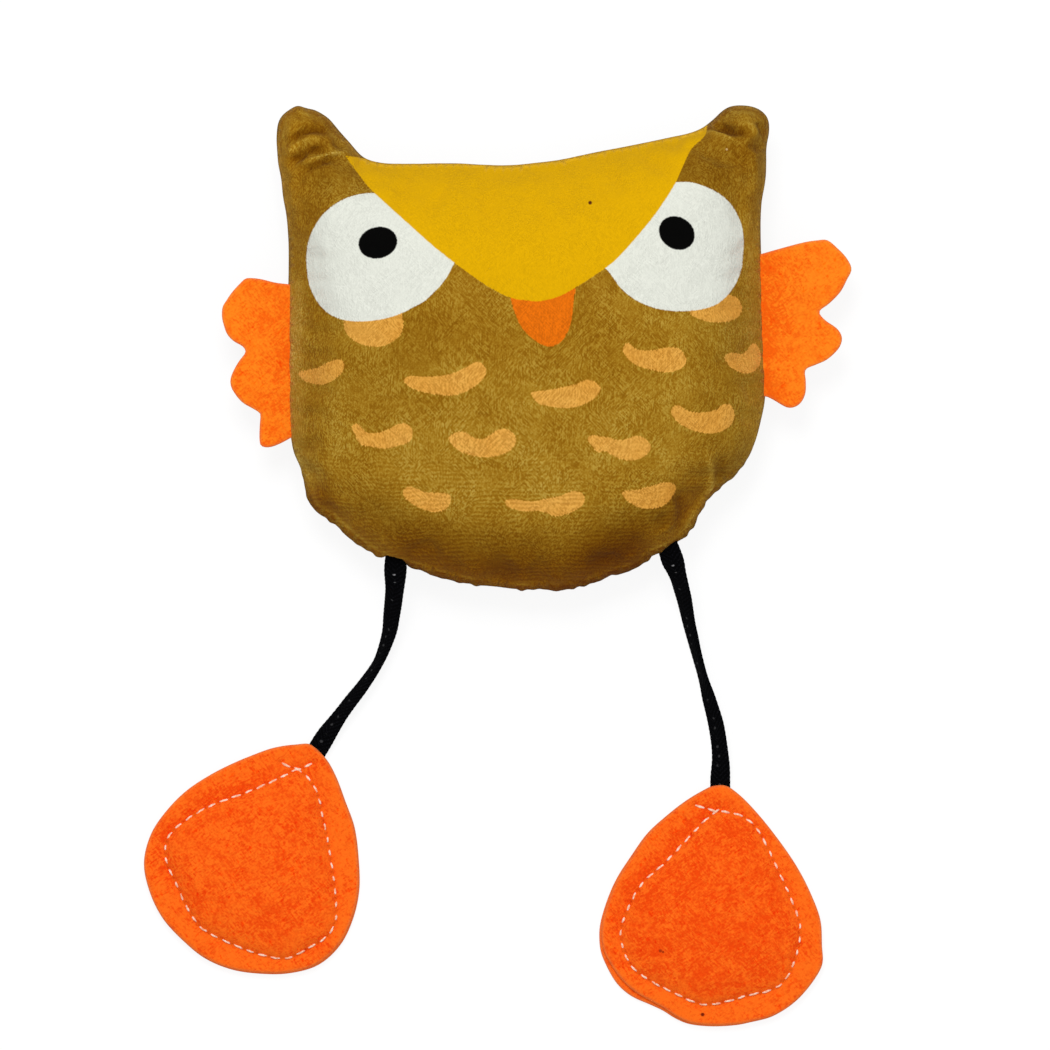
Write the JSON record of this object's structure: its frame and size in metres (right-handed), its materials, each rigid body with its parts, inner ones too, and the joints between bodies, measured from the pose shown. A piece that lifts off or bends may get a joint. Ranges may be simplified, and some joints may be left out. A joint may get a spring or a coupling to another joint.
{
  "type": "owl cat toy",
  "caption": "Stuffed plush owl for a cat, lying on its back, with felt wings on the side seams, flat braided tape legs and padded felt feet.",
  "frame": {"origin": "middle of the flat that the back is pressed to, on the surface that the toy lies on", "axes": "+Z out of the owl's front, away from the surface; +Y from the feet to the ears; +X to the right, seen from the front"},
  "size_m": [0.1857, 0.2398, 0.036],
  "materials": {
    "printed_plush": "short-pile brown plush, printed",
    "plain_plush": "short-pile brown plush",
    "fibre_filling": "loose polyester fibre",
    "cotton_pouch": "plain woven cotton",
    "wing_felt": "orange pressed felt",
    "foot_felt": "deep orange pressed felt",
    "braided_tape": "flat black braid",
    "stitch_thread": "thick off-white sewing thread"
  },
  "bodies": {
    "body": {"front_panel": "printed_plush", "back_panel": "plain_plush", "filling": "fibre_filling", "catnip_pouch": "cotton_pouch", "wing_left_seam_tab": "wing_felt", "wing_right_seam_tab": "wing_felt", "leg_left_body_end": "braided_tape", "leg_right_body_end": "braided_tape"},
    "wing_left": {"wing_left": "wing_felt"},
    "wing_right": {"wing_right": "wing_felt"},
    "leg_left_upper": {"leg_left_upper": "braided_tape"},
    "leg_left_lower": {"leg_left_lower": "braided_tape"},
    "foot_left": {"foot_left_front": "foot_felt", "foot_left_back": "foot_felt", "foot_left_padding": "fibre_filling", "foot_left_stitching": "stitch_thread", "leg_left_foot_end": "braided_tape"},
    "leg_right_upper": {"leg_right_upper": "braided_tape"},
    "leg_right_lower": {"leg_right_lower": "braided_tape"},
    "foot_right": {"foot_right_front": "foot_felt", "foot_right_back": "foot_felt", "foot_right_padding": "fibre_filling", "foot_right_stitching": "stitch_thread", "leg_right_foot_end": "braided_tape"}
  },
  "joints": [
    {"name": "wing_left_fold", "type": "hinge", "parent": "body", "child": "wing_left", "pos_m": [-0.06214, 0, 0.015], "axis": [0, 1, 0], "range_deg": [-80, 80], "stiffness_Nm_per_rad": 0.002},
    {"name": "wing_right_fold", "type": "hinge", "parent": "body", "child": "wing_right", "pos_m": [0.06381, 0, 0.015], "axis": [0, -1, 0], "range_deg": [-80, 80], "stiffness_Nm_per_rad": 0.002},
    {"name": "leg_left_hip", "type": "hinge", "parent": "body", "child": "leg_left_upper", "pos_m": [-0.0335, -0.05696, 0.015], "axis": [-1, 0, 0], "range_deg": [-60, 80]},
    {"name": "leg_left_knee", "type": "hinge", "parent": "leg_left_upper", "child": "leg_left_lower", "pos_m": [-0.03795, -0.07986, 0.00299], "axis": [0, 0, 1], "range_deg": [-45, 45]},
    {"name": "foot_left_ankle", "type": "hinge", "parent": "leg_left_lower", "child": "foot_left", "pos_m": [-0.0529, -0.10216, 0.0016], "axis": [-0.873, 0.4878, 0], "range_deg": [-80, 80]},
    {"name": "leg_right_hip", "type": "hinge", "parent": "body", "child": "leg_right_upper", "pos_m": [0.0383, -0.05454, 0.015], "axis": [-1, 0, 0], "range_deg": [-60, 80]},
    {"name": "leg_right_knee", "type": "hinge", "parent": "leg_right_upper", "child": "leg_right_lower", "pos_m": [0.04532, -0.08146, 0.0028], "axis": [0, 0, 1], "range_deg": [-45, 45]},
    {"name": "foot_right_ankle", "type": "hinge", "parent": "leg_right_lower", "child": "foot_right", "pos_m": [0.0511, -0.11214, 0.0016], "axis": [-0.9998, -0.0175, 0], "range_deg": [-80, 80]}
  ]
}
